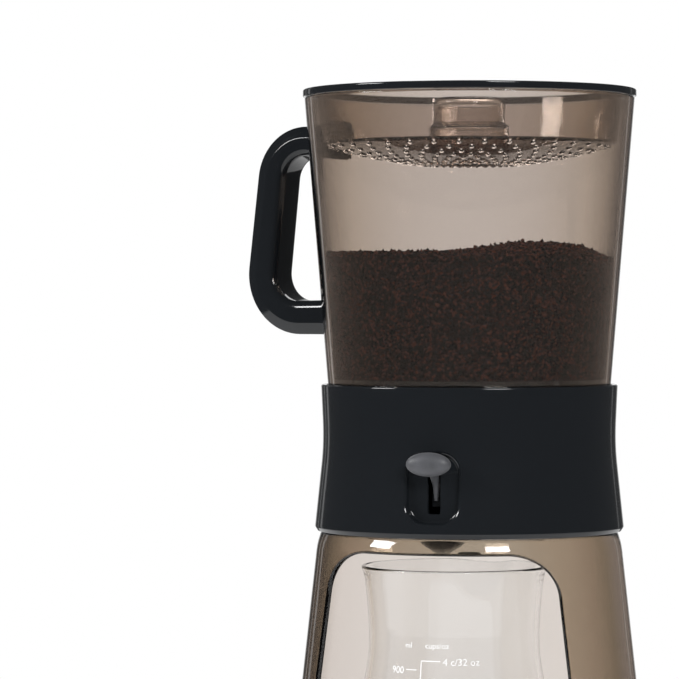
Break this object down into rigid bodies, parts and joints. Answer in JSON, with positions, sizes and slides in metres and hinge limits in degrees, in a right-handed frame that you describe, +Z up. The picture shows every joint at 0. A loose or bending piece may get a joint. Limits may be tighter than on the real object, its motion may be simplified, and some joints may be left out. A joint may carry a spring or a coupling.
{
  "type": "cold brew coffee maker",
  "caption": "Cold brew coffee maker: smoke brew container with handle and perforated lid, black collar with a drain switch, arched stand and glass carafe.",
  "frame": {"origin": "centre of the stand's underside, on the ground", "axes": "+Z up along the stand's axis; the switch and the stand's arch face -Y; the handle is on the -X side"},
  "size_m": [0.2056, 0.1794, 0.375],
  "materials": {
    "smoke_plastic": "clear smoke-tinted, polished",
    "black_gloss": "polished black",
    "black_satin": "fine satin black",
    "soft_grip": "soft-touch dark grey",
    "silicone": "matt silicone",
    "steel": "bright stainless",
    "clear_glass": "clear borosilicate",
    "ground_coffee": "coarse dark brown grounds"
  },
  "bodies": {
    "stand": {"base_pad": "silicone", "stand_body": "smoke_plastic", "collar": "black_gloss", "drip_cover": "black_satin", "lever_pin": "steel", "cover_screw_1": "steel", "cover_screw_2": "steel", "cover_screw_3": "steel", "cover_screw_4": "steel", "collar_deck": "black_satin"},
    "switch": {"switch_lever": "black_gloss", "switch_knob": "soft_grip"},
    "rod": {"push_rod": "black_satin"},
    "container": {"brew_container": "smoke_plastic", "filter_well": "smoke_plastic", "handle": "black_gloss", "valve_cage": "black_satin", "valve_spring": "steel", "filter_frame": "black_satin", "filter_mesh": "steel", "filter_gasket": "silicone", "coffee_grounds": "ground_coffee"},
    "valve": {"valve_stem": "black_satin", "valve_seal": "silicone"},
    "lid": {"shower_lid": "smoke_plastic"},
    "carafe": {"carafe": "clear_glass"}
  },
  "joints": [
    {"name": "switch_press", "type": "hinge", "parent": "stand", "child": "switch", "pos_m": [0, -0.019, 0.186], "axis": [1, 0, 0], "range_deg": [0, 15]},
    {"name": "rod_lift", "type": "slide", "parent": "stand", "child": "rod", "axis": [0, 0, 1], "range_m": [0, 0.0048]},
    {"name": "container_lift", "type": "slide", "parent": "stand", "child": "container", "axis": [0, 0, 1], "range_m": [0, 0.15]},
    {"name": "valve_lift", "type": "slide", "parent": "container", "child": "valve", "axis": [0, 0, 1], "range_m": [0, 0.0048], "deforming": ["valve_spring"]},
    {"name": "lid_lift", "type": "slide", "parent": "container", "child": "lid", "axis": [0, 0, 1], "range_m": [0, 0.15]},
    {"name": "carafe_slide", "type": "slide", "parent": "stand", "child": "carafe", "axis": [0, -1, 0], "range_m": [0, 0.2]}
  ],
  "couplings": [
    {"joint": "rod_lift", "follows": "switch_press", "m_per_rad": 0.0181},
    {"joint": "valve_lift", "follows": "switch_press", "m_per_rad": 0.0181}
  ]
}
